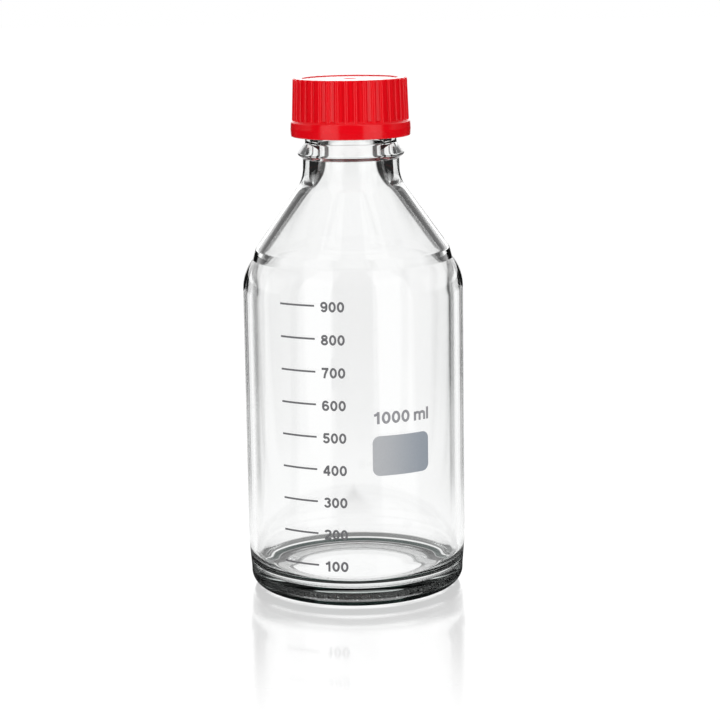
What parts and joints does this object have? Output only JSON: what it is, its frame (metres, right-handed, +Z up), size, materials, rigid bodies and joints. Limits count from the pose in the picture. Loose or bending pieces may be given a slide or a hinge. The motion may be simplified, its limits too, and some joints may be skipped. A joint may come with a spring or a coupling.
{
  "type": "round laboratory media bottle",
  "caption": "Round clear glass laboratory bottle with a coned shoulder, beaded threaded neck, pouring ring, seal disc and ribbed red screw cap.",
  "frame": {"origin": "centre of the bottle's foot, on the bench", "axes": "+Z up along the bottle's axis; the graduation and writing field face -Y"},
  "size_m": [0.101, 0.101, 0.234],
  "materials": {
    "clear_glass": "clear fire-polished borosilicate glass",
    "ring_plastic": "moulded red fluoroplastic, smooth",
    "seal_disc": "white silicone with a smooth fluoropolymer face",
    "cap_plastic": "moulded red polyester, satin gloss",
    "enamel_print": "grey fired enamel marks"
  },
  "bodies": {
    "bottle": {"bottle": "clear_glass", "pouring_ring": "ring_plastic"},
    "seal": {"cap_seal": "seal_disc"},
    "cap": {"screw_cap": "cap_plastic"}
  },
  "joints": [
    {"name": "cap_lift", "type": "slide", "parent": "bottle", "child": "seal", "axis": [0, 0, 1], "range_m": [0, 0.03]},
    {"name": "cap_turn", "type": "hinge", "parent": "seal", "child": "cap", "pos_m": [0, 0, 0.221], "axis": [0, 0, 1], "range_deg": [0, 2700]}
  ],
  "couplings": [
    {"joint": "cap_lift", "follows": "cap_turn", "m_per_rad": 0.0006366}
  ]
}
